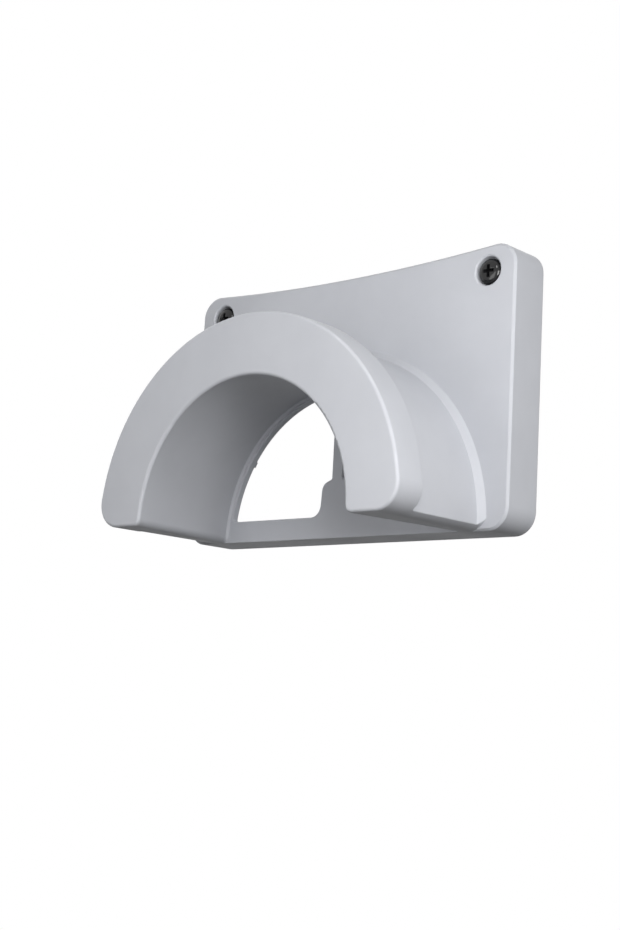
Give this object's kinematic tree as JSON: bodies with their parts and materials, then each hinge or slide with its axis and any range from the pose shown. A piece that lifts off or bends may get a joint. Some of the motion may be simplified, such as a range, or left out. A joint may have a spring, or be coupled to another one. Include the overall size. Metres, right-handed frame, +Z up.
{
  "type": "extension cord holder",
  "caption": "Wall bracket with a flanged arch that carries a coiled extension cord, held by recessed cross-head screws.",
  "frame": {"origin": "on the wall face of the back plate, where the axis of the arch meets it", "axes": "+Y into the wall, so the front looks along -Y; +Z up; +X to the right as seen from the front"},
  "size_m": [0.15, 0.0822, 0.0983],
  "materials": {
    "body": "light grey moulded plastic with a fine satin texture",
    "screw": "black coated steel"
  },
  "bodies": {
    "root": {"holder": "body", "mounting_screws": "screw"}
  },
  "joints": []
}
